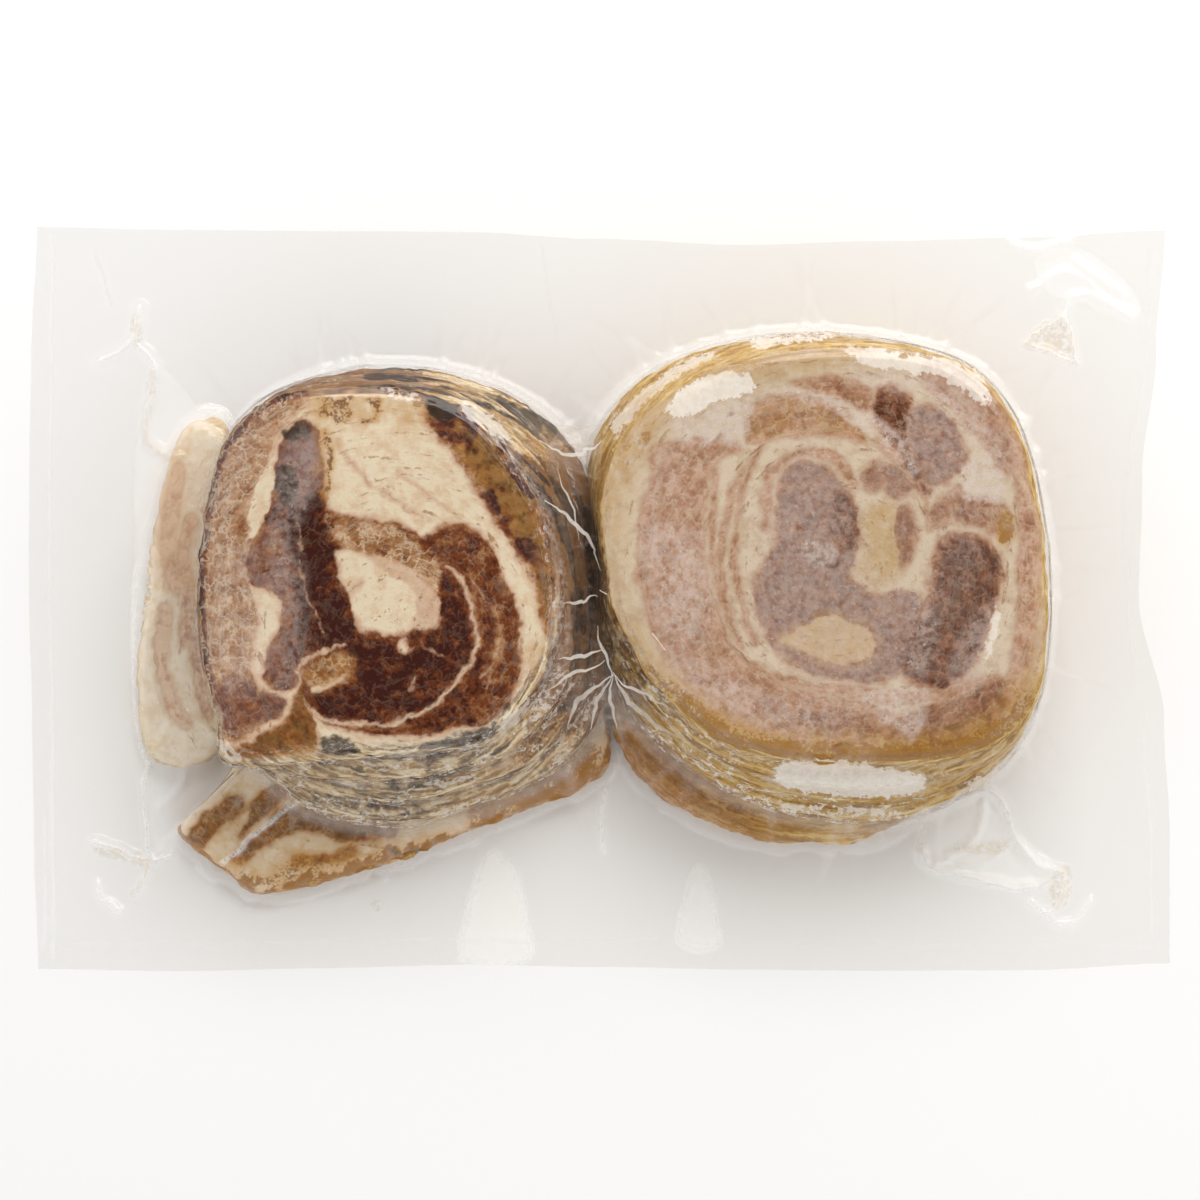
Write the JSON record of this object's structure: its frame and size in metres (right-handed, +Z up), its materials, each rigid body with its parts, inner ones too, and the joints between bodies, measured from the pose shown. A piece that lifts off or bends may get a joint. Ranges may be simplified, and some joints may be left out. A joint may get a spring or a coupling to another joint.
{
  "type": "vacuum pack of sliced chashu pork",
  "caption": "Clear vacuum pouch lying flat, with round slices of rolled braised pork belly in two low stacks side by side, loose slices at their foot, and a wide wavy film flange.",
  "frame": {"origin": "middle of the pouch in plan, on the surface that the pack lies on", "axes": "+X along the pouch's length towards the larger, paler stack, +Y across its width towards the edge that is far from the loose slices, +Z up from the surface it lies on"},
  "size_m": [0.3019, 0.1966, 0.042],
  "materials": {
    "clear_film": "clear, slightly milky vacuum film, soft gloss",
    "pork": "braised pork, cream fat and brown lean meat, wet under the film"
  },
  "bodies": {
    "root": {"vacuum_pouch": "clear_film"}
  },
  "joints": []
}
